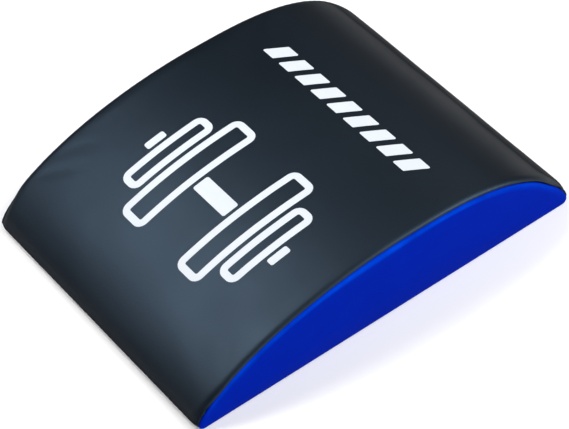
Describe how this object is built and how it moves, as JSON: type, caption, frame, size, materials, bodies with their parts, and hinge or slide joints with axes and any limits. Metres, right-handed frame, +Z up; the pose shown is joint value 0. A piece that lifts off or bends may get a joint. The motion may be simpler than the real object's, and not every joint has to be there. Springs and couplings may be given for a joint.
{
  "type": "ab mat",
  "caption": "Wedge-shaped ab mat: a moulded foam core in a sewn vinyl cover with coloured sides and a coil zip across its underside.",
  "frame": {"origin": "on the floor, below the middle of the mat's bounding box", "axes": "+X to the user's right when seen from the low end, +Y along the mat towards its thick end, +Z up"},
  "size_m": [0.305, 0.3805, 0.075],
  "materials": {
    "foam": "moulded open-cell foam, matte",
    "black_vinyl": "satin grained vinyl",
    "blue_vinyl": "satin grained vinyl",
    "base_vinyl": "grained vinyl",
    "zip_tape": "woven polyester",
    "zip_nylon": "extruded nylon",
    "zip_metal": "dark lacquered die casting"
  },
  "bodies": {
    "mat": {"foam_core": "foam", "top_cover": "black_vinyl", "side_panel_right": "blue_vinyl", "side_panel_left": "blue_vinyl", "base_panel_front": "base_vinyl", "base_panel_rear": "base_vinyl", "zip_tape_front": "zip_tape", "zip_tape_rear": "zip_tape", "zip_coil_front": "zip_nylon", "zip_coil_rear": "zip_nylon"},
    "slider": {"zip_slider": "zip_metal"},
    "pull": {"zip_pull": "zip_metal"}
  },
  "joints": [
    {"name": "zip_slide", "type": "slide", "parent": "mat", "child": "slider", "axis": [1, 0, 0], "range_m": [-0.258, 0], "deforming": ["zip_coil_front", "zip_coil_rear"]},
    {"name": "zip_pull_hinge", "type": "hinge", "parent": "slider", "child": "pull", "pos_m": [0.1355, 0.1145, 0.00215], "axis": [0, -1, 0], "range_deg": [0, 150]}
  ]
}
